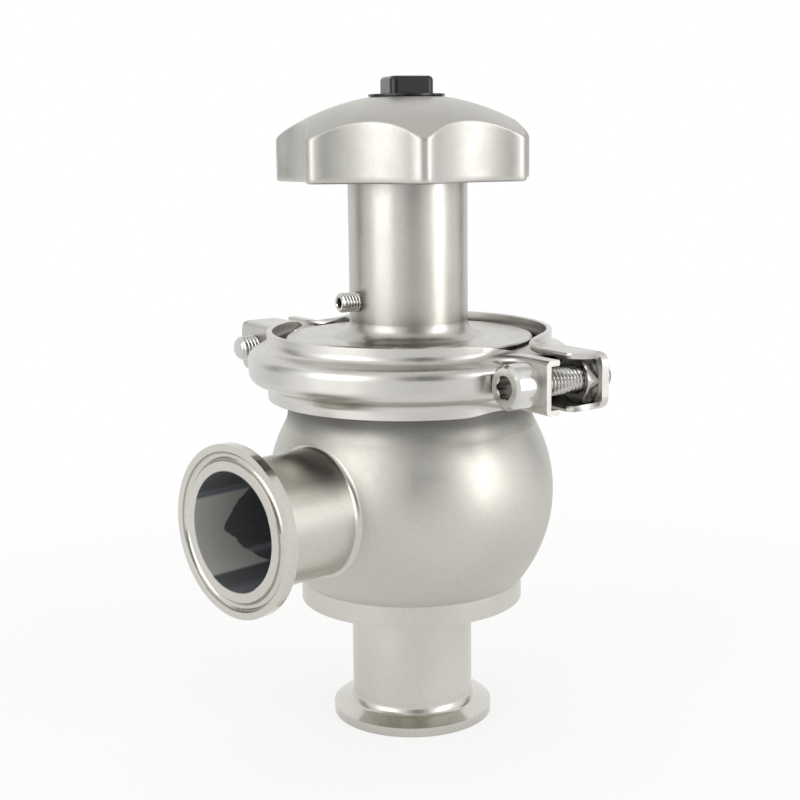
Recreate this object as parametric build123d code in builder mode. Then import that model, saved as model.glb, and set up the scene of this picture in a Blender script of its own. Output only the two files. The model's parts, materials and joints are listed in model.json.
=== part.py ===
from build123d import *
import os
from math import cos, radians, sin, sqrt, tan

# Sanitary angle pattern flow control valve, all lengths in millimetres, angles in degrees.
# Z runs up the spindle, the origin is the centre of the bottom port's face,
# and the side port points along -X.

# Tube and clamp ferrules, shared by both ports
tube_od = 38.1
tube_wall = 1.6
ferrule_od = 50.5
rim_thickness = 2.85
back_angle = 20.0
back_fillet = 3.0
groove_pitch_od = 43.5
groove_radius = 1.4

# Body: a pressed bulb between the two ports
bulb_radius = 44.8
bulb_wall = 2.4
side_reach = 71.7
bottom_tube_length = 38.7
seat_ring_radius = 34.9
seat_ring_height = 6.41
weld_fillet = 2.0

# Neck and the clamped joint above it
neck_od = 76.2
neck_length = 15.83
neck_flare = 9.0
joint_od = 91.0
joint_groove_od = 83.5
gasket_thickness = 2.0
gasket_inset = 0.5
bead_clearance = 0.1

# Seat and plug
seat_step = 2.09
seat_land = 4.0
seat_chamfer = 1.0
seat_gap = 0.05
lift = 15.0
plug_overlap = 3.9
plug_edge = 3.0
plug_height = 7.8
seal_thickness = 4.0
seal_lap = 2.0
seal_bore = 12.0
cone_clearance = 0.5
cone_length = 12.0
cone_tip_radius = 8.2
nut_grip = 6.0
nut_thickness = 5.5
plug_nut_flats = 16.0

# Stem, its swivel with the spindle, and what guides them
stem_radius = 7.0
stud_radius = 5.0
snug = 0.02
running = 0.05
collar_radius = 11.0
collar_height = 11.0
collar_above_lock = 0.7
stud_engagement = 4.0
journal_radius = 5.5
journal_relief = 0.6
pin_radius = 1.45
pin_neck_radius = 4.0
pin_rise = 7.75
pin_length = 18.6
thrust_washer_radius = 8.5
thrust_washer_thickness = 1.5
bush_radius = 11.0
bush_flange_radius = 13.5
bush_flange_thickness = 2.0
boss_radius = 15.0
boss_depth = 8.0
o_ring_section = 1.25
o_ring_squeeze = 0.1
o_ring_inset = 4.0

# Bonnet plate and the yoke tube on it
plate_step = 1.66
yoke_od = 36.5
yoke_wall = 4.0
yoke_fillet = 5.0
stop_margin = 0.5
nut_length = 11.0
nut_flange_thickness = 2.0
nut_flange_round = 0.8

# Lock screw through the yoke wall
lock_rise = 11.5
lock_angle = 165.0
lock_radius = 3.0
lock_length = 16.0
lock_free_gap = 1.25
lock_point = 1.0
lock_socket_flats = 3.0
lock_socket_depth = 3.0

# Hand wheel: a domed shell with seven lobes
lobe_count = 7
lobe_angle = -128.2
lobe_radius = 40.2
waist_radius = 33.0
ridge_radius = 4.0
ridge_round = 2.4
wheel_wall = 1.8
wheel_rise = 25.8
skirt_drop = 10.3
dome_radius = 65.0
dome_round = 3.0
dome_margin = 0.05
eye_radius = 10.0

# Hub, its fastening and the cap over them
closed_gap = 1.5
hub_radius = 13.0
hub_floor = 5.2
counterbore_radius = 9.0
square_drive = 10.0
thread_radius = 4.0
thread_above_nut = 0.9
hub_washer_radius = 8.5
hub_washer_thickness = 1.5
hub_nut_flats = 13.0
hub_nut_thickness = 4.5
cap_flange_radius = 11.6
cap_flange_thickness = 0.6
cap_skirt_depth = 1.4
cap_skirt_clearance = 0.1
cap_skirt_wall = 1.5
cap_square = 13.5
cap_rise = 5.1
cap_corner = 2.0
cap_edge = 1.4
cap_wall = 1.6
cap_angle = 61.8

# Two pressed clamp halves and their bolts. The bolts run along X before the clamp is turned.
clamp_angle = -11.0
clamp_sheet = 1.6
clamp_fit = 0.1
lip_radius = 42.4
lip_half_height = 10.3
bulge_gap = 2.7
bulge_bend = 3.0
lip_bend = 2.5
lug_beyond_bolt = 8.8
web_place = 1.3
channel_height = 15.6
channel_round = 1.6
channel_depth = 4.4
pan_height = 16.8
pan_place = 24.0
pan_depth = 11.0
pan_corner = 4.0
pan_end_lip = 2.5
pan_sweep = 4.1
bolt_radius = 3.95
bolt_hole_radius = 4.4
bolt_length = 29.0
bolt_point = 1.0
head_radius = 6.5
head_clearance = 0.1
head_height = 8.0
head_chamfer = 0.9
socket_flats = 6.3
socket_depth = 4.0
clamp_nut_flats = 13.0
clamp_nut_thickness = 4.0

# Sizes that follow from the ones above
tube_radius = tube_od / 2
bore_radius = tube_radius - tube_wall
neck_radius = neck_od / 2
joint_radius = joint_od / 2
yoke_radius = yoke_od / 2
yoke_bore = yoke_radius - yoke_wall
seat_ring_top = bottom_tube_length + seat_ring_height
bulb_height = seat_ring_top + sqrt(bulb_radius**2 - seat_ring_radius**2)
joint_low = bulb_height + sqrt(bulb_radius**2 - neck_radius**2) + neck_length
joint_high = joint_low + gasket_thickness
joint_height = joint_low + gasket_thickness / 2
seat_height = seat_ring_top + seat_step
seal_base = seat_height + seat_gap
plug_radius = bore_radius + plug_overlap
seal_top = seal_base + seal_thickness
plug_top = seal_top + plug_height
cone_radius = bore_radius - cone_clearance
cone_base = seat_height - cone_length
cone_top = seal_base + seal_thickness - seal_lap
bonnet_back = joint_high + rim_thickness + (joint_radius - neck_radius) * tan(radians(back_angle))
plate_height = bonnet_back + plate_step
lock_height = plate_height + lock_rise
collar_base = lock_height + lock_radius + collar_above_lock
collar_top = collar_base + collar_height
journal_base = collar_base + stud_engagement + journal_relief
shoulder_height = collar_top + thrust_washer_thickness
nut_base = shoulder_height + lift + stop_margin
yoke_top = nut_base + nut_length
hub_base = yoke_top + nut_flange_thickness + closed_gap
hub_shelf = hub_base + hub_floor
wheel_height = hub_base - skirt_drop
dome_top = wheel_height + wheel_rise
dome_centre = dome_top - dome_radius
eye_height = dome_centre + sqrt(dome_radius**2 - eye_radius**2)
cap_top = dome_top + cap_rise
lock_tip = stem_radius + lock_free_gap
bulge_radius = joint_radius + bulge_gap + clamp_sheet
bolt_reach = bulge_radius + head_clearance + head_radius
lug_reach = bolt_reach + lug_beyond_bolt

os.makedirs("parts", exist_ok=True)


# A tube that starts with a clamp ferrule. The base plane lies on the ferrule's face and its
# Z runs into the tube. With a foot, the length runs to the middle of a ball of that radius, which
# the tube stands on with a fillet.
def ferrule_tube(base, outer, rim, groove_od, length, foot=0.0, foot_fillet=0.0):
    section = Plane(origin=base.origin, x_dir=base.x_dir, z_dir=-base.y_dir)
    radius = outer / 2
    inner = radius - tube_wall
    back_top = rim_thickness + (rim / 2 - radius) * tan(radians(back_angle))
    with BuildPart() as piece:
        with BuildSketch(section) as wall:
            with BuildLine():
                Polyline(
                    (inner, 0),
                    (rim / 2, 0),
                    (rim / 2, rim_thickness),
                    (radius, back_top),
                    (radius, length),
                    (inner, length),
                    close=True,
                )
            make_face()
            fillet(wall.vertices().sort_by_distance((radius, back_top, 0))[0], back_fillet)
            if foot:
                with Locations((0, length)):
                    Circle(foot)
                meeting = length - sqrt(foot**2 - radius**2)
                fillet(wall.vertices().sort_by_distance((radius, meeting, 0))[0], foot_fillet)
                with Locations((0, length)):
                    Circle(foot, mode=Mode.SUBTRACT)
            with Locations((groove_od / 2, 0)):
                Circle(groove_radius, mode=Mode.SUBTRACT)
        revolve(axis=Axis(base.origin, base.z_dir))
    return piece.part


# A solid of revolution about Z from a closed outline of (radius, height) points
def turned(*points):
    with BuildPart() as piece:
        with BuildSketch(Plane.XZ):
            with BuildLine():
                Polyline(*points, close=True)
            make_face()
        revolve(axis=Axis.Z)
    return piece.part


# A ring between two radii and two heights
def ring(inner, outer, low, high):
    return turned((inner, low), (outer, low), (outer, high), (inner, high))


# The pressed bulb, open at the seat ring, at the neck and at the side port
with BuildPart() as bulb_shell:
    with Locations((0, 0, bulb_height)):
        Sphere(bulb_radius)
        Sphere(bulb_radius - bulb_wall, mode=Mode.SUBTRACT)
    split(bisect_by=Plane.XY.offset(seat_ring_top), keep=Keep.TOP)
    with BuildSketch(Plane.XY.offset(bulb_height)):
        Circle(neck_radius - tube_wall)
    extrude(amount=bulb_radius, mode=Mode.SUBTRACT)
    with BuildSketch(Plane.YZ.offset(-bulb_radius)):
        with Locations((0, bulb_height)):
            Circle(bore_radius)
    extrude(amount=bulb_radius / 2, mode=Mode.SUBTRACT)
bulb_shell.part.label = "bulb_shell"
export_step(bulb_shell.part, "parts/bulb_shell.step")

# Side port: its flared foot stands on the bulb
side_face = Plane(origin=(-side_reach, 0, bulb_height), x_dir=(0, 1, 0), z_dir=(1, 0, 0))
with BuildPart() as side_port:
    add(ferrule_tube(side_face, tube_od, ferrule_od, groove_pitch_od, side_reach, bulb_radius, weld_fillet))
side_port.part.label = "side_port"
export_step(side_port.part, "parts/side_port.step")

# Bottom port: a straight tube up to the seat ring
with BuildPart() as bottom_port:
    add(ferrule_tube(Plane.XY, tube_od, ferrule_od, groove_pitch_od, bottom_tube_length))
bottom_port.part.label = "bottom_port"
export_step(bottom_port.part, "parts/bottom_port.step")

# Neck: a wide tube that flares onto the bulb and ends in the lower clamp ferrule
neck_face = Plane(origin=(0, 0, joint_low), x_dir=(1, 0, 0), z_dir=(0, 0, -1))
with BuildPart() as neck_flange:
    to_middle = joint_low - bulb_height
    add(ferrule_tube(neck_face, neck_od, joint_od, joint_groove_od, to_middle, bulb_radius, neck_flare))
neck_flange.part.label = "neck_flange"
export_step(neck_flange.part, "parts/neck_flange.step")

# Seat ring: the flat floor of the bulb with a raised seat round the bottom bore
with BuildPart() as seat_ring:
    land_edge = bore_radius + seat_chamfer + seat_land
    floor_edge = sqrt((bulb_radius - bulb_wall) ** 2 - (bulb_height - seat_ring_top) ** 2)
    add(
        turned(
            (bore_radius, bottom_tube_length),
            (seat_ring_radius, bottom_tube_length),
            (seat_ring_radius, seat_ring_top),
            (floor_edge, seat_ring_top),
            (land_edge, seat_height),
            (bore_radius + seat_chamfer, seat_height),
            (bore_radius, seat_height - seat_chamfer),
        )
    )
seat_ring.part.label = "seat_ring"
export_step(seat_ring.part, "parts/seat_ring.step")

# Gasket between the neck and the bonnet, with a bead in each groove
with BuildPart() as body_gasket:
    add(ring(neck_radius - tube_wall, joint_radius - gasket_inset, joint_low, joint_high))
    with BuildSketch(Plane.XZ):
        with Locations((joint_groove_od / 2, joint_low), (joint_groove_od / 2, joint_high)):
            Circle(groove_radius - bead_clearance)
    revolve(axis=Axis.Z)
body_gasket.part.label = "body_gasket"
export_step(body_gasket.part, "parts/body_gasket.step")

# Bonnet: ferrule disc, raised plate above it and the bush boss below it
with BuildPart() as bonnet:
    bush_bore = bush_radius + snug
    add(
        turned(
            (bush_bore, joint_high - boss_depth),
            (boss_radius, joint_high - boss_depth),
            (boss_radius, joint_high),
            (joint_radius, joint_high),
            (joint_radius, joint_high + rim_thickness),
            (neck_radius, bonnet_back),
            (neck_radius, plate_height),
            (bush_bore, plate_height),
        )
    )
    with BuildSketch(Plane.XZ):
        with Locations((joint_groove_od / 2, joint_high)):
            Circle(groove_radius)
    revolve(axis=Axis.Z, mode=Mode.SUBTRACT)
    plate_edge = bonnet.edges().filter_by(GeomType.CIRCLE).group_by(Axis.Z)[-1].sort_by(SortBy.RADIUS)[-1]
    chamfer(plate_edge, 0.4)
bonnet.part.label = "bonnet"
export_step(bonnet.part, "parts/bonnet.step")

# Yoke tube: flared into the plate at its foot, with the lock screw's hole
lock_plane = Plane(
    origin=(0, 0, lock_height),
    x_dir=(0, 0, 1),
    z_dir=(cos(radians(lock_angle)), sin(radians(lock_angle)), 0),
)
with BuildPart() as yoke_tube:
    with BuildSketch(Plane.XZ):
        with BuildLine():
            flare_centre = (yoke_radius + yoke_fillet, plate_height + yoke_fillet)
            foot_edge = (yoke_radius + yoke_fillet, plate_height)
            Polyline(
                (yoke_radius, plate_height + yoke_fillet),
                (yoke_radius, yoke_top),
                (yoke_bore, yoke_top),
                (yoke_bore, plate_height),
                foot_edge,
            )
            CenterArc(flare_centre, yoke_fillet, 180, 90)
        make_face()
    revolve(axis=Axis.Z)
    with BuildSketch(lock_plane):
        Circle(lock_radius + running)
    extrude(amount=yoke_radius + yoke_fillet, mode=Mode.SUBTRACT)
yoke_tube.part.label = "yoke_tube"
export_step(yoke_tube.part, "parts/yoke_tube.step")

# Stem bush: flanged above the plate, with two seal grooves
o_ring_radius = stem_radius + o_ring_squeeze + o_ring_section
o_ring_heights = (joint_high - boss_depth + o_ring_inset, plate_height - o_ring_inset)
with BuildPart() as stem_bush:
    add(
        turned(
            (stem_radius + running, joint_high - boss_depth),
            (bush_radius, joint_high - boss_depth),
            (bush_radius, plate_height),
            (bush_flange_radius, plate_height),
            (bush_flange_radius, plate_height + bush_flange_thickness),
            (stem_radius + running, plate_height + bush_flange_thickness),
        )
    )
    with BuildSketch(Plane.XZ):
        with Locations(*[(o_ring_radius - o_ring_section, z) for z in o_ring_heights]):
            Rectangle(4 * o_ring_section + 2 * snug, 2 * o_ring_section + 2 * snug)
    revolve(axis=Axis.Z, mode=Mode.SUBTRACT)
stem_bush.part.label = "stem_bush"
export_step(stem_bush.part, "parts/stem_bush.step")

# The two seal rings in the bush
with BuildPart() as stem_o_rings:
    with BuildSketch(Plane.XZ):
        with Locations(*[(o_ring_radius, z) for z in o_ring_heights]):
            Circle(o_ring_section)
    revolve(axis=Axis.Z)
stem_o_rings.part.label = "stem_o_rings"
export_step(stem_o_rings.part, "parts/stem_o_rings.step")

# Spindle nut: the threaded bush that closes the yoke's top
with BuildPart() as spindle_nut:
    add(
        turned(
            (stem_radius + running, nut_base),
            (yoke_bore - snug, nut_base),
            (yoke_bore - snug, yoke_top),
            (yoke_radius, yoke_top),
            (yoke_radius, yoke_top + nut_flange_thickness),
            (stem_radius + running, yoke_top + nut_flange_thickness),
        )
    )
    flange_edge = spindle_nut.edges().group_by(Axis.Z)[-1].sort_by(SortBy.RADIUS)[-1]
    fillet(flange_edge, nut_flange_round)
spindle_nut.part.label = "spindle_nut"
export_step(spindle_nut.part, "parts/spindle_nut.step")

# Stem: a plain rod with a stud at each end
with BuildPart() as stem:
    stud_low = cone_base - nut_grip
    add(
        turned(
            (0, stud_low),
            (stud_radius, stud_low),
            (stud_radius, plug_top),
            (stem_radius, plug_top),
            (stem_radius, collar_base),
            (stud_radius, collar_base),
            (stud_radius, collar_base + stud_engagement),
            (0, collar_base + stud_engagement),
        )
    )
    chamfer(stem.edges().group_by(Axis.Z)[0], 0.8)
stem.part.label = "stem"
export_step(stem.part, "parts/stem.step")

# Valve plug: the disc that backs the seal, coned up to the stem
with BuildPart() as valve_plug:
    add(
        turned(
            (stud_radius + snug, seal_top),
            (plug_radius, seal_top),
            (plug_radius, seal_top + plug_edge),
            (stem_radius + plug_edge, plug_top),
            (stud_radius + snug, plug_top),
        )
    )
valve_plug.part.label = "valve_plug"
export_step(valve_plug.part, "parts/valve_plug.step")

# Plug seal: lies on the seat's land, its inner lip is held by the cone
with BuildPart() as plug_seal:
    seal_step = cone_radius + bead_clearance
    add(
        turned(
            (seal_bore, cone_top),
            (seal_step, cone_top),
            (seal_step, seal_base),
            (plug_radius - gasket_inset, seal_base),
            (plug_radius - gasket_inset, seal_top),
            (seal_bore, seal_top),
        )
    )
plug_seal.part.label = "plug_seal"
export_step(plug_seal.part, "parts/plug_seal.step")

# Flow cone: the curved body in the bore that meters the flow as the plug lifts
with BuildPart() as flow_cone:
    with BuildSketch(Plane.XZ):
        with BuildLine():
            Polyline(
                (cone_radius, seat_height - seat_chamfer),
                (cone_radius, cone_top),
                (seal_bore - bead_clearance, cone_top),
                (seal_bore - bead_clearance, seal_top),
                (stud_radius + snug, seal_top),
                (stud_radius + snug, cone_base),
                (cone_tip_radius, cone_base),
            )
            Spline(
                (cone_tip_radius, cone_base),
                (cone_radius, seat_height - seat_chamfer),
                tangents=((1, 0.7), (0, 1)),
            )
        make_face()
    revolve(axis=Axis.Z)
flow_cone.part.label = "flow_cone"
export_step(flow_cone.part, "parts/flow_cone.step")

# Plug nut below the cone
with BuildPart() as plug_nut:
    with BuildSketch(Plane.XY.offset(cone_base)):
        RegularPolygon(radius=plug_nut_flats / 2, side_count=6, major_radius=False)
        Circle(stud_radius + snug, mode=Mode.SUBTRACT)
    extrude(amount=-nut_thickness)
plug_nut.part.label = "plug_nut"
export_step(plug_nut.part, "parts/plug_nut.step")

# Swivel collar: screwed on the stem's stud, it carries the turning spindle
pin_height = collar_base + pin_rise
pin_offset = pin_neck_radius + running + pin_radius
with BuildPart() as swivel_collar:
    add(
        turned(
            (stud_radius + snug, collar_base),
            (collar_radius, collar_base),
            (collar_radius, collar_top),
            (journal_radius + running, collar_top),
            (journal_radius + running, collar_base + stud_engagement),
            (stud_radius + snug, collar_base + stud_engagement),
        )
    )
    with BuildSketch(Plane.YZ):
        with Locations((-pin_offset, pin_height), (pin_offset, pin_height)):
            Circle(pin_radius + snug)
    extrude(amount=collar_radius, both=True, mode=Mode.SUBTRACT)
swivel_collar.part.label = "swivel_collar"
export_step(swivel_collar.part, "parts/swivel_collar.step")

# The two cross pins that run in the spindle's groove
with BuildPart() as swivel_pins:
    with BuildSketch(Plane.YZ):
        with Locations((-pin_offset, pin_height), (pin_offset, pin_height)):
            Circle(pin_radius)
    extrude(amount=pin_length / 2, both=True)
swivel_pins.part.label = "swivel_pins"
export_step(swivel_pins.part, "parts/swivel_pins.step")

# Thrust washer between the collar and the spindle's shoulder
with BuildPart() as thrust_washer:
    add(ring(journal_radius + running, thrust_washer_radius, collar_top, shoulder_height))
thrust_washer.part.label = "thrust_washer"
export_step(thrust_washer.part, "parts/thrust_washer.step")

# Spindle: grooved journal below, threaded length, square drive and threaded end above
spindle_end = hub_shelf + hub_washer_thickness + hub_nut_thickness + thread_above_nut
with BuildPart() as spindle:
    groove_low = pin_height - pin_radius - running
    groove_high = pin_height + pin_radius + running
    add(
        turned(
            (0, journal_base),
            (journal_radius, journal_base),
            (journal_radius, groove_low),
            (pin_neck_radius, groove_low),
            (pin_neck_radius, groove_high),
            (journal_radius, groove_high),
            (journal_radius, shoulder_height),
            (stem_radius, shoulder_height),
            (stem_radius, hub_base),
            (0, hub_base),
        )
    )
    with BuildSketch(Plane.XY.offset(hub_base)):
        Rectangle(square_drive, square_drive)
        Circle(stem_radius - bead_clearance, mode=Mode.INTERSECT)
    extrude(amount=hub_floor - bead_clearance)
    with BuildSketch(Plane.XY.offset(hub_shelf - bead_clearance)):
        Circle(thread_radius)
    extrude(amount=spindle_end - hub_shelf + bead_clearance)
spindle.part.label = "spindle"
export_step(spindle.part, "parts/spindle.step")


# The hand wheel's form, drawn in by a distance: 0 gives the outside, the wall gives the hollow.
# A round plan with one waist between each two lobes is cut by the dome that closes it, whose own
# side lies a margin outside the lobes.
def wheel_form(inset):
    dome_side = lobe_radius + dome_margin - inset
    ridge_place = lobe_radius - ridge_radius
    half_pitch = radians(180 / lobe_count)
    ridge_x = ridge_place * cos(half_pitch)
    ridge_y = ridge_place * sin(half_pitch)
    reach = ridge_x - waist_radius
    scallop = (reach**2 + ridge_y**2 - ridge_radius**2) / (2 * (ridge_radius + reach))
    with BuildPart() as form:
        with BuildSketch(Plane.XY.offset(wheel_height)) as plan:
            Circle(lobe_radius - inset)
            with PolarLocations(waist_radius + scallop, lobe_count, start_angle=lobe_angle + 180 / lobe_count):
                Circle(scallop + inset, mode=Mode.SUBTRACT)
            fillet(plan.vertices(), max(ridge_round - inset, ridge_round / 4))
        extrude(amount=dome_top - wheel_height)
        with BuildSketch(Plane.XZ) as dome:
            with Locations((0, dome_centre)):
                Circle(dome_radius - inset)
            with Locations((0, wheel_height)):
                Rectangle(dome_side, dome_top, align=(Align.MIN, Align.MIN), mode=Mode.INTERSECT)
            shoulder = dome.vertices().sort_by(Axis.X)[-2:].sort_by(Axis.Y)[-1]
            fillet(shoulder, dome_round - inset / 2)
        revolve(axis=Axis.Z, mode=Mode.INTERSECT)
    return form.part


# Hand wheel: pressed shell, open below, with a round eye at its top
with BuildPart() as handwheel:
    add(wheel_form(0))
    add(wheel_form(wheel_wall), mode=Mode.SUBTRACT)
    with BuildSketch(Plane.XY.offset(hub_base)):
        Circle(eye_radius)
    extrude(amount=dome_top - hub_base, mode=Mode.SUBTRACT)
handwheel.part.label = "handwheel"
export_step(handwheel.part, "parts/handwheel.step")

# Hub: welded under the dome, square bored for the spindle
with BuildPart() as handwheel_hub:
    with BuildSketch(Plane.XY.offset(hub_base)):
        Circle(hub_radius)
        Rectangle(square_drive + 2 * running, square_drive + 2 * running, mode=Mode.SUBTRACT)
    extrude(amount=dome_top - hub_base)
    with BuildSketch(Plane.XY.offset(hub_shelf)):
        Circle(counterbore_radius)
    extrude(amount=dome_top - hub_shelf, mode=Mode.SUBTRACT)
    with Locations((0, 0, dome_centre)):
        Sphere(dome_radius - wheel_wall, mode=Mode.INTERSECT)
handwheel_hub.part.label = "handwheel_hub"
export_step(handwheel_hub.part, "parts/handwheel_hub.step")

# Washer and nut on the spindle's end
with BuildPart() as hub_washer:
    add(ring(thread_radius + snug, hub_washer_radius, hub_shelf, hub_shelf + hub_washer_thickness))
hub_washer.part.label = "hub_washer"
export_step(hub_washer.part, "parts/hub_washer.step")

with BuildPart() as hub_nut:
    with BuildSketch(Plane.XY.offset(hub_shelf + hub_washer_thickness)):
        RegularPolygon(radius=hub_nut_flats / 2, side_count=6, major_radius=False)
        Circle(thread_radius + snug, mode=Mode.SUBTRACT)
    extrude(amount=hub_nut_thickness)
hub_nut.part.label = "hub_nut"
export_step(hub_nut.part, "parts/hub_nut.step")

# Cap: a hollow square head on a thin flange, its skirt pressed into the wheel's eye
with BuildPart() as handwheel_cap:
    flange_top = eye_height + cap_flange_thickness
    skirt_radius = eye_radius - cap_skirt_clearance
    with BuildSketch(Plane.XY.offset(eye_height)):
        Circle(cap_flange_radius)
    extrude(amount=cap_flange_thickness)
    with BuildSketch(Plane.XY.offset(eye_height - cap_skirt_depth)):
        Circle(skirt_radius)
    extrude(amount=cap_skirt_depth)
    with BuildSketch(Plane.XY.offset(flange_top)) as head:
        Rectangle(cap_square, cap_square, rotation=cap_angle)
        fillet(head.vertices(), cap_corner)
    extrude(amount=cap_top - flange_top)
    fillet(handwheel_cap.edges().group_by(Axis.Z)[-1], cap_edge)
    with BuildSketch(Plane.XY.offset(eye_height - cap_skirt_depth)):
        Circle(skirt_radius - cap_skirt_wall)
    extrude(amount=cap_skirt_depth, mode=Mode.SUBTRACT)
    with BuildSketch(Plane.XY.offset(eye_height - cap_skirt_depth)):
        hollow = cap_square - 2 * cap_wall
        Rectangle(hollow, hollow, rotation=cap_angle)
    extrude(amount=cap_top - cap_wall - eye_height + cap_skirt_depth, mode=Mode.SUBTRACT)
handwheel_cap.part.label = "handwheel_cap"
export_step(handwheel_cap.part, "parts/handwheel_cap.step")

# Lock screw: free of the stem by its gap at rest, with a point and a socket
with BuildPart() as lock_screw:
    with BuildSketch(lock_plane.offset(lock_tip)):
        Circle(lock_radius)
    extrude(amount=lock_length)
    screw_ends = lock_screw.edges().filter_by(GeomType.CIRCLE).sort_by_distance((0, 0, lock_height))
    chamfer(screw_ends[0], lock_point)
    with BuildSketch(lock_plane.offset(lock_tip + lock_length)):
        RegularPolygon(radius=lock_socket_flats / 2, side_count=6, major_radius=False)
    extrude(amount=-lock_socket_depth, mode=Mode.SUBTRACT)
lock_screw.part.label = "lock_screw"
export_step(lock_screw.part, "parts/lock_screw.step")


# Height above the joint's middle of the clamp's sloping wall: its inner face lies on the
# ferrules' backs, and its outer face is one sheet further out
def clamp_slope(radius, sheet):
    rise = gasket_thickness / 2 + rim_thickness + (joint_radius - radius) * tan(radians(back_angle))
    return rise + clamp_fit + sheet / cos(radians(back_angle))


# The clamp's hat section turned about Z, as a filled form out to its inner face (sheet 0)
# or to its outer face (sheet at its thickness). Its bends keep the sheet's thickness.
def clamp_form(sheet, half_height):
    lip = lip_radius + sheet
    bulge = joint_radius + bulge_gap + sheet
    lip_corner = clamp_slope(lip, sheet)
    bulge_corner = clamp_slope(bulge, sheet)
    with BuildPart() as form:
        with BuildSketch(Plane.XZ) as section:
            with BuildLine():
                Polyline(
                    (0, joint_height - half_height),
                    (lip, joint_height - half_height),
                    (lip, joint_height - lip_corner),
                    (bulge, joint_height - bulge_corner),
                    (bulge, joint_height + bulge_corner),
                    (lip, joint_height + lip_corner),
                    (lip, joint_height + half_height),
                    (0, joint_height + half_height),
                    close=True,
                )
            make_face()
            corners = section.vertices().group_by(Axis.X)
            fillet(corners[-1], bulge_bend + sheet)
            lips = corners[1].sort_by(Axis.Y)[1:-1]
            fillet(lips, lip_bend + clamp_sheet - sheet)
        revolve(axis=Axis.Z)
    return form.part


# Channel lug at the -Y end, drawn in by a distance: a block from the web towards the other half
def channel_form(inset, tip):
    with BuildPart() as channel:
        with BuildSketch(Plane.XZ.offset(lip_radius)) as face:
            with Locations((web_place + inset, joint_height)):
                Rectangle(tip, channel_height - 2 * inset, align=(Align.MIN, Align.CENTER))
            fillet(face.vertices().group_by(Axis.X)[0], channel_round)
        extrude(amount=lug_reach - lip_radius)
    return channel.part


# Pan lug at the +Y end, drawn in by a distance: its flanges sweep back to the end wall
def pan_form(inset, mouth):
    web = -pan_place + inset
    end = lug_reach - inset
    with BuildPart() as pan:
        with BuildSketch(Plane.YZ.offset(web)) as front:
            with Locations((0, joint_height)):
                Rectangle(end, pan_height - 2 * inset, align=(Align.MIN, Align.CENTER))
            fillet(front.vertices().group_by(Axis.X)[-1], pan_corner - inset)
        extrude(amount=mouth)
        with BuildSketch(Plane.XY.offset(joint_height - pan_height)):
            with Locations((web, lip_radius)):
                Rectangle(mouth, lug_reach, align=(Align.MIN, Align.MIN))
        extrude(amount=2 * pan_height, mode=Mode.INTERSECT)
    return pan.part


# The plan outline that a pan is trimmed to: its flanges sweep back to the end wall's low lip
def pan_plan():
    mouth = pan_depth - pan_place
    lip_edge = pan_end_lip - pan_place
    sweep_start = lug_reach - clamp_sheet - pan_sweep
    with BuildPart() as plan:
        with BuildSketch(Plane.XY.offset(joint_height - pan_height)):
            with BuildLine():
                Polyline(
                    (mouth, sweep_start),
                    (mouth, 0),
                    (-lug_reach, 0),
                    (-lug_reach, lug_reach),
                    (lip_edge, lug_reach),
                    (lip_edge, lug_reach - clamp_sheet),
                )
                EllipticalCenterArc((lip_edge, sweep_start), pan_depth - pan_end_lip, pan_sweep, arc_size=90)
            make_face()
        extrude(amount=2 * pan_height)
    return plan.part


# One clamp half on the -X side: its -Y end is an open channel that takes the bolt's head,
# its +Y end a deep pan that holds the nut. Half a turn about Z gives the other half.
def clamp_half():
    far = 2 * lug_reach
    with BuildPart() as half:
        add(clamp_form(clamp_sheet, lip_half_height))
        with BuildSketch(Plane.XY.offset(joint_height - pan_height)):
            with BuildLine():
                Polyline(
                    (-far, -far),
                    (web_place + channel_depth, -far),
                    (web_place + channel_depth, 0),
                    (pan_depth - pan_place, 0),
                    (pan_depth - pan_place, far),
                    (-far, far),
                    close=True,
                )
            make_face()
        extrude(amount=2 * pan_height, mode=Mode.INTERSECT)
        add(channel_form(0, channel_depth))
        add(pan_form(0, pan_depth).intersect(pan_plan()))
        add(clamp_form(0, lip_half_height + clamp_sheet), mode=Mode.SUBTRACT)
        add(channel_form(clamp_sheet, 2 * channel_depth), mode=Mode.SUBTRACT)
        add(pan_form(clamp_sheet, 2 * pan_depth), mode=Mode.SUBTRACT)
        with BuildSketch(Plane.YZ.offset(-lug_reach)):
            with Locations((-bolt_reach, joint_height), (bolt_reach, joint_height)):
                Circle(bolt_hole_radius)
        extrude(amount=2 * lug_reach, mode=Mode.SUBTRACT)
    return half.part


# Bolt on the -Y side along X: socket head against the channel's web, plain point at the end
def clamp_bolt():
    with BuildPart() as bolt:
        axis_plane = Plane(origin=(web_place, -bolt_reach, joint_height), x_dir=(0, 1, 0), z_dir=(1, 0, 0))
        with BuildSketch(axis_plane):
            Circle(head_radius)
        extrude(amount=-head_height)
        with BuildSketch(axis_plane):
            Circle(bolt_radius)
        extrude(amount=bolt_length)
        rims = bolt.edges().filter_by(GeomType.CIRCLE).sort_by(Axis.X)
        chamfer(rims[0], head_chamfer)
        chamfer(bolt.edges().filter_by(GeomType.CIRCLE).sort_by(Axis.X)[-1], bolt_point)
        with BuildSketch(axis_plane.offset(-head_height)):
            RegularPolygon(radius=socket_flats / 2, side_count=6, major_radius=False)
        extrude(amount=socket_depth, mode=Mode.SUBTRACT)
    return bolt.part


# Nut in the pan, against the inside of its web
def clamp_nut():
    with BuildPart() as nut:
        seat = Plane(
            origin=(pan_place - clamp_sheet, -bolt_reach, joint_height), x_dir=(0, 1, 0), z_dir=(-1, 0, 0)
        )
        with BuildSketch(seat):
            RegularPolygon(radius=clamp_nut_flats / 2, side_count=6, major_radius=False)
            Circle(bolt_radius + running, mode=Mode.SUBTRACT)
        extrude(amount=clamp_nut_thickness)
    return nut.part


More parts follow.
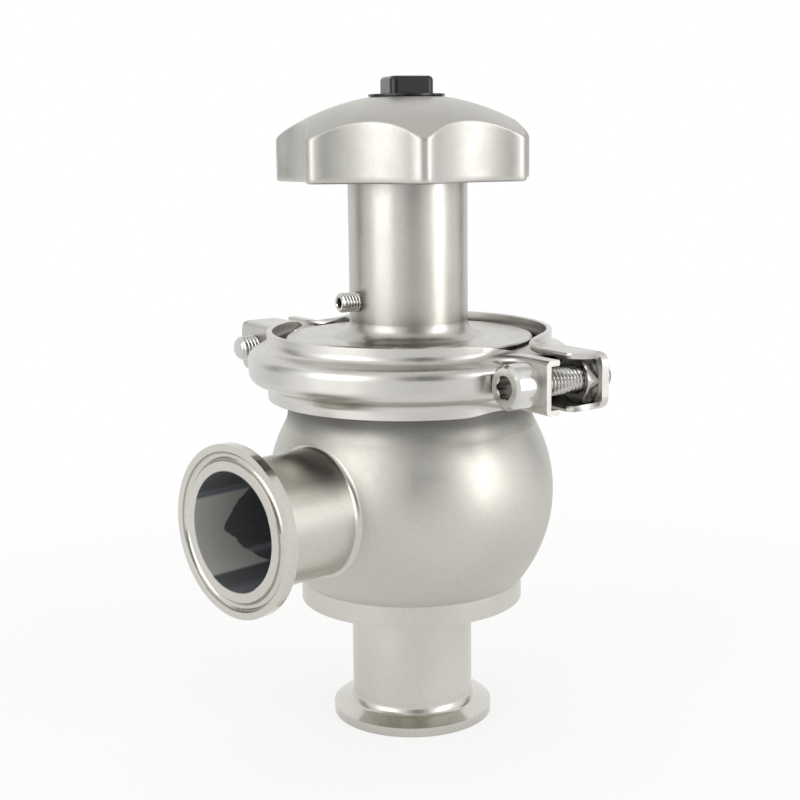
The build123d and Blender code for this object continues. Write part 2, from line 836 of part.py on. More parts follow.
with BuildPart() as clamp_half_left:
    add(clamp_half(), rotation=(0, 0, clamp_angle))
clamp_half_left.part.label = "clamp_half_left"
export_step(clamp_half_left.part, "parts/clamp_half_left.step")

with BuildPart() as clamp_half_right:
    add(clamp_half(), rotation=(0, 0, clamp_angle + 180))
clamp_half_right.part.label = "clamp_half_right"
export_step(clamp_half_right.part, "parts/clamp_half_right.step")

with BuildPart() as clamp_bolt_near:
    add(clamp_bolt(), rotation=(0, 0, clamp_angle))
clamp_bolt_near.part.label = "clamp_bolt_near"
export_step(clamp_bolt_near.part, "parts/clamp_bolt_near.step")

with BuildPart() as clamp_bolt_far:
    add(clamp_bolt(), rotation=(0, 0, clamp_angle + 180))
clamp_bolt_far.part.label = "clamp_bolt_far"
export_step(clamp_bolt_far.part, "parts/clamp_bolt_far.step")

with BuildPart() as clamp_nut_near:
    add(clamp_nut(), rotation=(0, 0, clamp_angle))
clamp_nut_near.part.label = "clamp_nut_near"
export_step(clamp_nut_near.part, "parts/clamp_nut_near.step")

with BuildPart() as clamp_nut_far:
    add(clamp_nut(), rotation=(0, 0, clamp_angle + 180))
clamp_nut_far.part.label = "clamp_nut_far"
export_step(clamp_nut_far.part, "parts/clamp_nut_far.step")
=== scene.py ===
import json
from math import cos, pi, radians, sin, tan

import bmesh
import bpy
import numpy as np
from mathutils import Matrix, Vector


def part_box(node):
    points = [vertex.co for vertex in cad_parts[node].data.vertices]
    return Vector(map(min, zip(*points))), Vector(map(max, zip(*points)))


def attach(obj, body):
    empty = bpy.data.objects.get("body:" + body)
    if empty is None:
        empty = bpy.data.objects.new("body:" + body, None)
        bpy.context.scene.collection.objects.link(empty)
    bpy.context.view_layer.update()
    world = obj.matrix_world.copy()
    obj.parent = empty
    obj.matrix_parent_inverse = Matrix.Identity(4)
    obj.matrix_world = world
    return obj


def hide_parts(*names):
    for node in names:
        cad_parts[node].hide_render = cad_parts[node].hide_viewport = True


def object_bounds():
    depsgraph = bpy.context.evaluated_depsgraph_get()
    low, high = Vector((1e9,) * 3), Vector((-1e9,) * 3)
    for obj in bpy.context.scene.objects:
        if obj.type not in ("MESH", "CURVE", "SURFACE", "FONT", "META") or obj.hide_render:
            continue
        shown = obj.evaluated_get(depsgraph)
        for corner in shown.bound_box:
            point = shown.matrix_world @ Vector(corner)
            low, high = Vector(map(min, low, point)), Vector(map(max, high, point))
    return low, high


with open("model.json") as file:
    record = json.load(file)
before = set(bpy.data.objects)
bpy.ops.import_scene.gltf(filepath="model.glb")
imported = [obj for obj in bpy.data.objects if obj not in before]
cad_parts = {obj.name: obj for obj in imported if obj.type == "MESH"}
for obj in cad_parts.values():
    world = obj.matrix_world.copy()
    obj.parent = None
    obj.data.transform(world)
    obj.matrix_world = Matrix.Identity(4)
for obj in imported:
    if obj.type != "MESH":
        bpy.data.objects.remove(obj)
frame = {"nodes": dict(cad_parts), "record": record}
cadLow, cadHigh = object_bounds()
nodes = frame["nodes"]
mm = 0.001
print("frame loaded:", len(nodes), "nodes")

# The view that the valve was photographed from. The ground frame is turned so that the
# camera looks along its y axis; turn is the angle from there to the frame's own axes.
view = {
    "turn": 45.22,
    "distance": 0.4438,
    "height": 0.18387,
    "pitch": 10.55,
    "yaw": -0.39,
    "roll": -0.65,
    "lens": 64.94,
    "sensor": 36.0,
    "clipNear": 0.01,
    "clipFar": 50.0,
}


# With t the view's turn: x = right cos t + forward sin t, y = -right sin t + forward cos t, z = up
def fromView(right, forward, up):
    t = radians(view["turn"])
    return Vector((right * cos(t) + forward * sin(t), -right * sin(t) + forward * cos(t), up))


def makeCamera():
    pitch, yaw, roll = (radians(view[k]) for k in ("pitch", "yaw", "roll"))
    ahead = fromView(sin(yaw) * cos(pitch), cos(yaw) * cos(pitch), -sin(pitch))
    level = fromView(cos(yaw), -sin(yaw), 0)
    up = level.cross(ahead)
    side = level * cos(roll) + up * sin(roll)
    top = up * cos(roll) - level * sin(roll)
    data = bpy.data.cameras.new("photoCamera")
    data.lens = view["lens"]
    data.sensor_width = view["sensor"]
    data.sensor_fit = "HORIZONTAL"
    data.clip_start = view["clipNear"]
    data.clip_end = view["clipFar"]
    camera = bpy.data.objects.new("photoCamera", data)
    turned = Matrix((side, top, -ahead)).transposed().to_4x4()
    camera.matrix_world = Matrix.Translation(fromView(0, -view["distance"], view["height"])) @ turned
    bpy.context.scene.collection.objects.link(camera)
    bpy.context.scene.camera = camera


makeCamera()
print("camera placed")


# Node helpers: a value is linked when it is another node's output, and set when it is a number
def setInput(tree, socket, value):
    if isinstance(value, bpy.types.NodeSocket):
        tree.links.new(value, socket)
    else:
        socket.default_value = value


# A node with its settings and inputs, which are named, or numbered as i0, i1 and so on
def addNode(tree, kind, settings=None, **inputs):
    node = tree.nodes.new("ShaderNode" + kind)
    for key, value in (settings or {}).items():
        setattr(node, key, value)
    for key, value in inputs.items():
        numbered = key[0] == "i" and key[1:].isdigit()
        setInput(tree, node.inputs[int(key[1:]) if numbered else key], value)
    return node.outputs[0] if node.outputs else node


def addMath(tree, operation, first, second=0.0):
    return addNode(tree, "Math", {"operation": operation}, i0=first, i1=second)


def addRange(tree, value, low, high, newLow, newHigh):
    return addNode(tree, "MapRange", {"interpolation_type": "SMOOTHSTEP"},
                   i0=value, i1=low, i2=high, i3=newLow, i4=newHigh)


def addBlend(tree, factor, first, second, mode="MIX"):
    node = tree.nodes.new("ShaderNodeMix")
    node.data_type = "RGBA"
    node.blend_type = mode
    setInput(tree, node.inputs[0], factor)
    setInput(tree, node.inputs[6], first)
    setInput(tree, node.inputs[7], second)
    return node.outputs[2]


def addNoise(tree, vector, scale, detail=2.0, rough=0.5):
    return addNode(tree, "TexNoise", Vector=vector, Scale=scale, Detail=detail, Roughness=rough)


# The tint times a grey value
def addShade(tree, tint, value):
    grey = addNode(tree, "CombineColor", Red=value, Green=value, Blue=value)
    return addBlend(tree, 1.0, tint, grey, "MULTIPLY")


def newTree(name):
    material = bpy.data.materials.new(name)
    material.use_nodes = True
    material.node_tree.nodes.clear()
    return material, material.node_tree


def addSurface(tree, **inputs):
    shader = tree.nodes.new("ShaderNodeBsdfPrincipled")
    output = tree.nodes.new("ShaderNodeOutputMaterial")
    tree.links.new(shader.outputs[0], output.inputs[0])
    for key, value in inputs.items():
        setInput(tree, shader.inputs[key.replace("_", " ")], value)


# Coordinates in metres about a piece's own axis: the place from the centre, the distance from
# the axis, the place along it, and a vector of the last two. Noise on that vector runs round
# the piece, as turning marks do.
def turnedCoordinates(tree, centre, axis):
    place = addNode(tree, "TexCoord").node.outputs["Object"]
    centred = addNode(tree, "Mapping", Vector=place, Location=[-c for c in centre])
    parts = addNode(tree, "SeparateXYZ", Vector=centred).node.outputs
    along = parts[axis]
    squares = [addMath(tree, "POWER", parts[k], 2.0) for k in range(3) if k != axis]
    radius = addMath(tree, "SQRT", addMath(tree, "ADD", *squares))
    rings = addNode(tree, "CombineXYZ", X=radius, Y=along)
    return centred, radius, along, rings


# The polished bore near a port's mouth, with painted light and shade: painted light on its side wall
# down to a wavy edge, painted shade above, below and deeper in, with faint painted reflections as
# streaks along it. Pairs are where a change starts and ends.
bore = {
    "lift": 0.0040, "waveScale": 160.0, "wave": 0.007, "slope": 0.9, "depth": (0.0062, 0.0070),
    "half": (0.0104, 0.0111), "streakScale": 210.0, "streakRange": (0.52, 0.70), "streakMost": 0.6,
    "shadeColour": (0.125, 0.13, 0.138, 1), "reflectionColour": (0.34, 0.37, 0.43, 1),
}


def addBoreShade(tree, centred, along, mouth, pale):
    up = addNode(tree, "SeparateXYZ", Vector=centred).node.outputs["Z"]
    line = addNode(tree, "CombineXYZ", X=up)
    depth = addMath(tree, "SUBTRACT", along, mouth)
    wave = addMath(tree, "MULTIPLY", addNoise(tree, line, bore["waveScale"], 2.0), bore["wave"])
    height = addMath(tree, "ABSOLUTE", addMath(tree, "ADD", up, bore["lift"]))
    edge = addMath(tree, "ADD", addMath(tree, "MULTIPLY", height, bore["slope"]), wave)
    near = addRange(tree, addMath(tree, "SUBTRACT", depth, edge), *bore["depth"], 1.0, 0.0)
    level = addMath(tree, "MULTIPLY", near, addRange(tree, height, *bore["half"], 1.0, 0.0))
    # Painted reflections: faint lighter streaks along the bore's shaded part
    reflectionStreaks = addNoise(tree, line, bore["streakScale"], 2.0)
    share = addRange(tree, reflectionStreaks, *bore["streakRange"], 0.0, bore["streakMost"])
    return addBlend(tree, level, addBlend(tree, share, bore["shadeColour"], bore["reflectionColour"]), (*pale, 1))


# Stainless steel. The cloud values vary the tint over some centimetres, the grain is the blasted
# or tumbled skin, and the lines are the marks of turning round the piece's axis. The crevice share
# is the tint's share in corners, where painted shade darkens it. A few pieces have more:
# shine - polished along the axis from one place to another: low, high, softness, roughness
# inner - the inside's edge, colour and metal share, by distance from the axis or, without
#         round, from the centre; mouth - the place of the bore shade's start
# band of painted shade - darker along the axis: where it starts, where it is full, and its share of the tint
blasted = {
    "tintLow": (0.52, 0.505, 0.46), "tintHigh": (0.57, 0.555, 0.515), "cloudScale": 22.0,
    "speckScale": 900.0, "speck": 0.06, "roughLow": 0.37, "roughHigh": 0.45, "creviceShade": 0.62,
    "grainScale": 2600.0, "grain": 0.25, "grainDepth": 0.00004,
    "lineScale": 1500.0, "line": 0.04, "lineDepth": 0.00002,
    "centre": (0, 0, 0), "axis": 2, "round": True,
}
skin = {
    "tintRange": (0.35, 0.65), "noiseRange": (0.3, 0.7), "openRange": (0.1, 0.9), "openReach": 0.012,
    "openSamples": 6, "smearShare": 4, "innerSoft": 0.0003, "innerRough": 0.3,
}


def makeSteel(name, look):
    material, tree = newTree(name)
    centred, radius, along, rings = turnedCoordinates(tree, look["centre"], look["axis"])
    clouds = addRange(tree, addNoise(tree, centred, look["cloudScale"], 3.0), *skin["tintRange"], 0.0, 1.0)
    tint = addBlend(tree, clouds, (*look["tintLow"], 1), (*look["tintHigh"], 1))
    specks = addNoise(tree, centred, look["speckScale"], 4.0, 0.7)
    tint = addShade(tree, tint, addRange(tree, specks, *skin["noiseRange"], 1 - look["speck"], 1.0))
    # Painted shade: ambient occlusion darkens the tint in corners, under parts and between them, down to the
    # crevice share
    around = addNode(tree, "AmbientOcclusion", {"samples": skin["openSamples"]}, Distance=skin["openReach"])
    cornerShade = addRange(tree, around.node.outputs["AO"], *skin["openRange"], look["creviceShade"], 1.0)
    tint = addShade(tree, tint, cornerShade)
    # Painted shade: the tint darkens along the axis over the band
    if "shadeBand" in look:
        clear, full, least = look["shadeBand"]
        tint = addShade(tree, tint, addRange(tree, along, clear, full, 1.0, least))
    smear = addNoise(tree, centred, look["cloudScale"] * skin["smearShare"], 4.0, 0.6)
    rough = addRange(tree, smear, *skin["noiseRange"], look["roughLow"], look["roughHigh"])
    if "shine" in look:
        low, high, soft, polished = look["shine"]
        inside = addMath(tree, "MULTIPLY", addRange(tree, along, low - soft, low + soft, 0.0, 1.0),
                         addRange(tree, along, high - soft, high + soft, 1.0, 0.0))
        smoother = addMath(tree, "MULTIPLY", inside, look["roughLow"] - polished)
        rough = addMath(tree, "SUBTRACT", rough, smoother)
    metal = 1.0
    if "inner" in look:
        edge, colour, share = look["inner"]
        reach = addNode(tree, "VectorMath", {"operation": "LENGTH"}, i0=centred).node.outputs["Value"]
        inside = addRange(tree, radius if look["round"] else reach, edge - skin["innerSoft"], edge, 1.0, 0.0)
        shade = (*colour, 1)
        if "mouth" in look:
            shade = addBoreShade(tree, centred, along, look["mouth"], colour)
        tint = addBlend(tree, inside, tint, shade)
        metal = addRange(tree, inside, 0.0, 1.0, metal, share)
        rough = addRange(tree, inside, 0.0, 1.0, rough, skin["innerRough"])
    grain = addNoise(tree, centred, look["grainScale"], 2.0)
    lines = addNoise(tree, rings, look["lineScale"], 2.0, 0.6)
    relief = addNode(tree, "Bump", Strength=look["grain"], Distance=look["grainDepth"], Height=grain)
    relief = addNode(tree, "Bump", Strength=look["line"], Distance=look["lineDepth"], Height=lines,
                     Normal=relief)
    addSurface(tree, Base_Color=tint, Metallic=metal, Roughness=rough, Normal=relief)
    return material


bulbSteel = dict(blasted, tintLow=(0.57, 0.555, 0.505), tintHigh=(0.62, 0.605, 0.565),
                 roughLow=0.41, roughHigh=0.49)
bonnetSteel = dict(blasted, roughLow=0.23, roughHigh=0.3, line=0.02, grain=0.03)
yokeSteel = dict(blasted, roughLow=0.29, roughHigh=0.36)
tubeSteel = dict(blasted, tintLow=(0.60, 0.585, 0.53), tintHigh=(0.66, 0.645, 0.60),
                 roughLow=0.28, roughHigh=0.34, grain=0.12, line=0.12)
wheelSteel = dict(blasted, tintLow=(0.55, 0.54, 0.50), tintHigh=(0.61, 0.595, 0.56),
                  roughLow=0.38, roughHigh=0.46, grain=0.2, cloudScale=30.0)
clampSteel = dict(blasted, tintLow=(0.61, 0.595, 0.56), tintHigh=(0.68, 0.665, 0.63),
                  roughLow=0.27, roughHigh=0.35, cloudScale=40.0, grain=0.05, line=0.03,
                  speck=0.03, creviceShade=0.85)
brightSteel = dict(blasted, tintLow=(0.60, 0.59, 0.56), tintHigh=(0.70, 0.69, 0.66),
                   roughLow=0.16, roughHigh=0.24, cloudScale=90.0, grain=0.06, line=0.10, speck=0.05)
turnedSteel = dict(brightSteel, tintLow=(0.60, 0.59, 0.57), tintHigh=(0.66, 0.65, 0.63), line=0.2)
bronze = dict(brightSteel, tintLow=(0.60, 0.42, 0.20), tintHigh=(0.70, 0.52, 0.28),
              roughLow=0.28, roughHigh=0.36)

# The ports' bores and polished ferrules, and the ball's inside
sideLow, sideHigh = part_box("side_port")
bottomLow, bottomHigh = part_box("bottom_port")
sideCentre = (0.0, 0.0, (sideLow.z + sideHigh.z) / 2)
ferrule = {"depth": 5.2 * mm, "outside": mm, "soft": 0.0006, "polish": 0.12, "bore": 0.0178}


def ferruleShine(face):
    return face - ferrule["outside"], face + ferrule["depth"], ferrule["soft"], ferrule["polish"]


# The side port's inner colour is the painted light on its bore's side wall
sidePortSteel = dict(tubeSteel, centre=sideCentre, axis=0, creviceShade=0.9, shine=ferruleShine(sideLow.x),
                     inner=(ferrule["bore"], (0.56, 0.555, 0.53), 0.1), mouth=sideLow.x)
bottomPortSteel = dict(tubeSteel, shine=ferruleShine(bottomLow.z),
                       inner=(ferrule["bore"], (0.62, 0.61, 0.58), 0.35))
# Painted shade: the neck darkens towards the clamp, in place of the shade under its lower lip
neckSteel = dict(bulbSteel, shadeBand=(0.0930, 0.1010, 0.30))
# Painted shade: the ball's inside gets a darker, bluish tint for the shade within the chamber
shellSteel = dict(bulbSteel, centre=sideCentre, inner=(0.0436, (0.42, 0.44, 0.50), 0.75), round=False)

matte = {"cloudScale": 60.0, "cloudLow": 0.82, "spreadScale": 400.0, "spread": 0.15, "grainDepth": 0.00005}


def makeMatte(name, colour, rough, grainScale, grain):
    material, tree = newTree(name)
    centred = turnedCoordinates(tree, (0, 0, 0), 2)[0]
    clouds = addNoise(tree, centred, matte["cloudScale"], 4.0)
    tint = addShade(tree, (*colour, 1), addRange(tree, clouds, *skin["noiseRange"], matte["cloudLow"], 1.0))
    spread = addRange(tree, addNoise(tree, centred, matte["spreadScale"], 3.0), *skin["noiseRange"],
                      rough * (1 - matte["spread"]), rough * (1 + matte["spread"]))
    relief = addNode(tree, "Bump", Strength=grain, Distance=matte["grainDepth"],
                     Height=addNoise(tree, centred, grainScale))
    addSurface(tree, Base_Color=tint, Roughness=spread, Normal=relief)
    return material


finishes = {
    "body_steel": makeSteel("blastedSteel", blasted),
    "port_steel": makeSteel("tubeSteel", tubeSteel),
    "wheel_steel": makeSteel("wheelSteel", wheelSteel),
    "clamp_steel": makeSteel("tumbledSteel", clampSteel),
    "fastener_steel": makeSteel("brightSteel", brightSteel),
    "turned_steel": makeSteel("turnedSteel", turnedSteel),
    "bronze": makeSteel("machinedBronze", bronze),
    "seal_rubber": makeMatte("sealRubber", (0.035, 0.035, 0.036), 0.7, 2200.0, 0.3),
    "white_plastic": makeMatte("whitePlastic", (0.82, 0.82, 0.80), 0.45, 1800.0, 0.15),
    "black_plastic": makeMatte("blackPlastic", (0.012, 0.012, 0.013), 0.22, 2400.0, 0.12),
}
ownFinishes = {
    "side_port": makeSteel("sidePortSteel", sidePortSteel),
    "bottom_port": makeSteel("bottomPortSteel", bottomPortSteel),
    "neck_flange": makeSteel("neckSteel", neckSteel),
    "bulb_shell": makeSteel("bulbSteel", shellSteel),
    "bonnet": makeSteel("bonnetSteel", bonnetSteel),
    "yoke_tube": makeSteel("yokeSteel", yokeSteel),
}


def setFinish(piece, material):
    piece.data.materials.clear()
    piece.data.materials.append(material)


for row in frame["record"]["subparts"]:
    name = row["node"]
    setFinish(nodes[name], ownFinishes.get(name, finishes[row["material_slot"]]))
print("finishes set")

mergeDistance = 1e-7


# A piece from a grid of points. Its rows close into a ring and its columns stay open. Doubled
# points merge, which closes the poles, and the faces are turned outwards.
def gridPiece(name, points, body, slot, replaced=(), smoothAngle=35.0):
    rows, columns = points.shape[:2]
    index = np.arange(rows * columns).reshape(rows, columns)
    after = np.roll(index, -1, axis=0)
    quads = np.stack([index[:, :-1], after[:, :-1], after[:, 1:], index[:, 1:]], axis=-1).reshape(-1, 4)
    mesh = bpy.data.meshes.new(name)
    mesh.from_pydata(points.reshape(-1, 3).tolist(), [], quads.tolist())
    work = bmesh.new()
    work.from_mesh(mesh)
    bmesh.ops.remove_doubles(work, verts=work.verts, dist=mergeDistance)
    bmesh.ops.recalc_face_normals(work, faces=work.faces)
    work.to_mesh(mesh)
    work.free()
    mesh.polygons.foreach_set("use_smooth", np.ones(len(mesh.polygons), bool))
    mesh.set_sharp_from_angle(angle=radians(smoothAngle))
    piece = bpy.data.objects.new(name, mesh)
    bpy.context.scene.collection.objects.link(piece)
    setFinish(piece, finishes[slot])
    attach(piece, body)
    if replaced:
        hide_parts(*replaced)
    return piece


# Outlines carried round an axis, for a grid of angles and outline points:
# p = origin + along h + r (across cos a + (along x across) sin a)
def aroundAxis(radii, heights, angles, origin, along, across):
    along = Vector(along).normalized()
    across = Vector(across).normalized()
    third = along.cross(across)
    basis = np.array([across, third, along])
    local = np.stack([radii * np.cos(angles), radii * np.sin(angles), heights], axis=-1)
    return local @ basis + np.array(origin)


# As aroundAxis, for lists of columns in millimetres
def turnedPoints(radii, heights, angles, origin, along, across):
    radii = np.concatenate(radii, axis=1)
    heights = np.concatenate(heights, axis=1)
    return aroundAxis(radii * mm, heights * mm, angles, origin, along, across)


def fullTurn(steps):
    return np.linspace(0, 2 * pi, steps, endpoint=False)[:, None]


# r = (flats / 2) / cos(b), with b the angle from the nearest flat's middle
def hexRadius(angles, flats):
    fromFlat = (angles + pi / 6) % (pi / 3) - pi / 6
    return flats / 2 / np.cos(fromFlat)


# The hand wheel's shell, in millimetres until its last line
wheel = {
    "lobes": 7, "lobeAngle": -128.2, "lobeRadius": 40.2, "waistRadius": 33.0, "ridgeRadius": 4.0,
    "ridgeBlend": 2.4, "bottom": 169.2, "wall": 1.8, "domeRadius": 70.0, "domeTop": 194.95,
    "eyeRadius": 10.0, "lobeRound": 2.2, "archRound": 1.0, "leastRound": 0.4, "rimRound": 0.7,
    "stepsPerLobe": 72, "domeSteps": 26, "roundSteps": 8, "wallSteps": 12, "rimSteps": 6,
    "smoothAngle": 50.0,
}


# r = soft minimum of the lobe circle and the scallop c cos b - sqrt(s^2 - c^2 sin^2 b), with b
# the angle from the waist. The second result runs from 0 at the waist to 1 at the lobe.
def planRadius(angles, inset):
    pitch = 2 * pi / wheel["lobes"]
    place = wheel["lobeRadius"] - wheel["ridgeRadius"]
    ridgeX, ridgeY = place * cos(pitch / 2), place * sin(pitch / 2)
    reach = ridgeX - wheel["waistRadius"]
    scallop = (reach**2 + ridgeY**2 - wheel["ridgeRadius"]**2) / (2 * (wheel["ridgeRadius"] + reach))
    centre = wheel["waistRadius"] + scallop
    cut = scallop + inset
    b = (angles - radians(wheel["lobeAngle"])) % pitch - pitch / 2
    inner = centre * np.cos(b) - np.sqrt(np.maximum(cut**2 - (centre * np.sin(b))**2, 0))
    outer = wheel["lobeRadius"] - inset
    k = wheel["ridgeBlend"]
    h = np.clip(0.5 + 0.5 * (inner - outer) / k, 0, 1)
    soft = inner * (1 - h) + outer * h - k * h * (1 - h)
    lobe = (soft - wheel["waistRadius"] + inset) / (wheel["lobeRadius"] - wheel["waistRadius"])
    return soft, np.clip(lobe, 0, 1)


# The dome, r = D cos t and z = middle + D sin t, then an arc of radius f tangent to dome and
# wall, then the wall straight down
def wheelSection(angles, inset):
    edge, lobe = planRadius(angles, inset)
    edge = edge[:, None]
    dome = wheel["domeRadius"] - inset
    middle = wheel["domeTop"] - wheel["domeRadius"]
    f = wheel["archRound"] + (wheel["lobeRound"] - wheel["archRound"]) * lobe[:, None]**2
    f = np.maximum(f - inset / 2, wheel["leastRound"])
    roundR = edge - f
    roundZ = middle + np.sqrt((dome - f)**2 - roundR**2)
    start = np.arctan2(roundZ - middle, roundR)
    eye = np.arccos(wheel["eyeRadius"] / dome)
    domeAngle = eye + (start - eye) * np.linspace(0, 1, wheel["domeSteps"])
    roundAngle = start * (1 - np.linspace(0, 1, wheel["roundSteps"])[1:])
    low = wheel["bottom"] + wheel["rimRound"]
    v = np.linspace(0, 1, wheel["wallSteps"])[1:]
    radii = [dome * np.cos(domeAngle), roundR + f * np.cos(roundAngle), edge + 0 * v]
    heights = [middle + dome * np.sin(domeAngle), roundZ + f * np.sin(roundAngle),
               roundZ + (low - roundZ) * v]
    return np.concatenate(radii, axis=1), np.concatenate(heights, axis=1)


def makeWheel():
    angles = np.linspace(0, 2 * pi, wheel["lobes"] * wheel["stepsPerLobe"], endpoint=False)
    outerR, outerZ = wheelSection(angles, 0.0)
    innerR, innerZ = wheelSection(angles, wheel["wall"])
    w = np.linspace(0, pi, wheel["rimSteps"])[1:-1]
    middle = (outerR[:, -1:] + innerR[:, -1:]) / 2
    half = (outerR[:, -1:] - innerR[:, -1:]) / 2
    rimR = middle + half * np.cos(w)
    rimZ = outerZ[:, -1:] - wheel["rimRound"] * np.sin(w)
    radii = np.concatenate([outerR, rimR, innerR[:, ::-1], outerR[:, :1]], axis=1)
    heights = np.concatenate([outerZ, rimZ, innerZ[:, ::-1], outerZ[:, :1]], axis=1)
    points = aroundAxis(radii, heights, angles[:, None], (0, 0, 0), (0, 0, 1), (1, 0, 0))
    gridPiece("handwheelShell", points * mm, "handwheel", "wheel_steel", ["handwheel"], wheel["smoothAngle"])


makeWheel()
print("hand wheel made")

# Screws: one closed surface from the middle of the socket round the head, down the thread and
# to the middle of the point. Lengths in millimetres, heights from the head's bearing face.
bolt = {
    "headRadius": 6.5, "headHeight": 8.0, "headChamfer": 0.9, "socketFlats": 6.3, "socketDepth": 4.0,
    "socketChamfer": 0.35, "crest": 3.95, "depth": 0.62, "pitch": 1.25, "length": 29.0, "point": 1.1,
    "plain": 1.0, "angleSteps": 72, "stepsPerPitch": 12,
}
lockScrew = {
    "crest": 3.0, "depth": 0.5, "pitch": 1.0, "length": 16.0, "point": 0.9, "startChamfer": 0.54,
    "socketFlats": 3.0, "socketDepth": 3.0, "socketChamfer": 0.25, "angleSteps": 60,
    "stepsPerPitch": 12, "plain": 0.0, "turn": 165.0, "inner": 8.25, "height": 133.3,
}
threadFlat = 0.12


# r = crest - depth v, with v a wave of height / pitch - angle / turn, flat at crest and root. It
# grows over the plain length at the low end, and the point's cone cuts it at the high end.
def threadRadius(angles, heights, look, low, high):
    wave = np.abs(((heights / look["pitch"] - angles / (2 * pi)) % 1) * 2 - 1)
    groove = np.clip((wave - threadFlat) / (1 - 2 * threadFlat), 0, 1)
    fade = np.clip((heights - low) / look["plain"], 0, 1) if look["plain"] else 1.0
    radius = look["crest"] - look["depth"] * groove * fade
    return np.minimum(radius, look["crest"] - look["point"] + (high - heights))


def screwPoints(look, origin, along, across):
    angles = fullTurn(look["angleSteps"])
    one = np.ones_like(angles)
    hexEdge = hexRadius(angles, look["socketFlats"])
    headed = "headRadius" in look
    top = -look["headHeight"] if headed else 0.0
    chamfer = look["socketChamfer"]
    socketTop = np.maximum(hexEdge, look["socketFlats"] / 2 + chamfer)
    radii = [0 * one, hexEdge * 0.5, hexEdge, hexEdge, socketTop]
    heights = [(top + look["socketDepth"]) * one] * 3 + [(top + chamfer) * one, top * one]
    steps = int(look["length"] / look["pitch"] * look["stepsPerPitch"])
    h = np.linspace(0.0, look["length"], steps)[None, :] * one
    body = threadRadius(angles, h, look, 0.0, look["length"])
    if headed:
        r, c = look["headRadius"], look["headChamfer"]
        radii += [(r - c) * one, r * one, r * one, look["crest"] * one]
        heights += [top * one, (top + c) * one, 0 * one, 0 * one]
    else:
        start = look["crest"] - look["startChamfer"]
        radii += [start * one]
        heights += [0 * one]
        body = np.minimum(body, start + h)
    radii += [body, 0 * one]
    heights += [h, look["length"] * one]
    return turnedPoints(radii, heights, angles, origin, along, across)


nut = {
    "flats": 13.0, "thickness": 4.0, "face": 0.97, "slope": 30.0, "bore": 4.0, "boreChamfer": 0.5,
    "angleSteps": 96, "smoothAngle": 25.0,
}


# r = the hexagon's radius, cut at both ends by a cone that leaves a round face
def nutPoints(look, origin, along, across):
    angles = fullTurn(look["angleSteps"])
    one = np.ones_like(angles)
    edge = hexRadius(angles, look["flats"])
    face = look["flats"] / 2 * look["face"]
    drop = np.maximum(edge - face, 0) * tan(radians(look["slope"]))
    t, r, c = look["thickness"], look["bore"], look["boreChamfer"]
    radii = [r * one, (r + c) * one, face * one, edge, edge, face * one, (r + c) * one, r * one, r * one]
    heights = [c * one, 0 * one, 0 * one, drop, t - drop, t * one, t * one, (t - c) * one, c * one]
    return turnedPoints(radii, heights, angles, origin, along, across)


# Clamp halves: one pressed sheet each, in millimetres. A hat section runs round the ring, bends
# outwards at both ends and turns into an open channel at one and a deep pan at the other. The
# bends give the radius in the middle and at the edges, and the heights between which it grows.
# Blends are rows of the grid over which one section passes to the next.
clamp = {
    "turn": radians(-11.0), "jointHeight": 113.6, "sheet": 1.6, "webPlace": 1.3, "panPlace": 24.0,
    "boltReach": 56.4, "reach": 65.2, "smoothAngle": 40.0,
    "bulge": 49.8, "lip": 44.0, "bulgeCorner": 4.09, "lipCorner": 6.2, "half": 10.3,
    "bulgeBend": 3.2, "lipBend": 2.5,
    "channelHalf": 7.8, "channelDepth": 4.4, "channelBend": 1.6,
    "panHalf": 8.4, "panDepth": 11.0, "panBend": 1.6, "panCorner": 4.0, "endLip": 2.5, "sweep": 4.1,
    "nearBend": (1.0, 10.0, 3.0, 7.6), "farBend": (4.0, 8.0, 3.0, 8.0),
    "acrossSteps": 45, "ringSteps": 120, "bendSteps": 14, "legSteps": 26, "arcSteps": 24,
    "ringBlend": (2, 6), "channelBlend": 8, "edgeRound": 0.3,
}


# The clamp's own frame, turned by c about z and in metres:
# x = along cos c - outwards sin c, y = along sin c + outwards cos c
def clampPlace(along, outwards, up):
    c = clamp["turn"]
    return Vector((along * cos(c) - outwards * sin(c), along * sin(c) + outwards * cos(c), up)) * mm


# Evenly spaced points on the line through the corners, each inner corner replaced by an arc of
# its radius: centre = corner + bisector r / sin(half angle)
def roundedLine(corners, radii):
    corners = np.array(corners, float)
    line = [corners[:1]]
    for k, radius in enumerate(radii, 1):
        back = corners[k - 1] - corners[k]
        ahead = corners[k + 1] - corners[k]
        back /= np.linalg.norm(back)
        ahead /= np.linalg.norm(ahead)
        half = np.arccos(np.clip(back @ ahead, -1, 1)) / 2
        bisector = (back + ahead) / np.linalg.norm(back + ahead)
        centre = corners[k] + bisector * radius / sin(half)
        start = corners[k] + back * radius / tan(half) - centre
        end = corners[k] + ahead * radius / tan(half) - centre
        t = np.linspace(0, 1, clamp["arcSteps"])[:, None]
        turn = pi - 2 * half
        line.append(centre + (np.sin((1 - t) * turn) * start + np.sin(t * turn) * end) / sin(turn))
    line = np.concatenate(line + [corners[-1:]])
    length = np.concatenate([[0], np.cumsum(np.linalg.norm(np.diff(line, axis=0), axis=1))])
    wanted = np.linspace(0, length[-1], clamp["acrossSteps"])
    return np.stack([np.interp(wanted, length, line[:, i]) for i in (0, 1)], axis=-1)


def mirrored(half):
    return np.concatenate([half[:0:-1] * (1, -1), half])


# 3 t^2 - 2 t^3, with t the value's place from low to high
def ease(value, low, high):
    t = np.clip((value - low) / (high - low), 0, 1)
    return t * t * (3 - 2 * t)


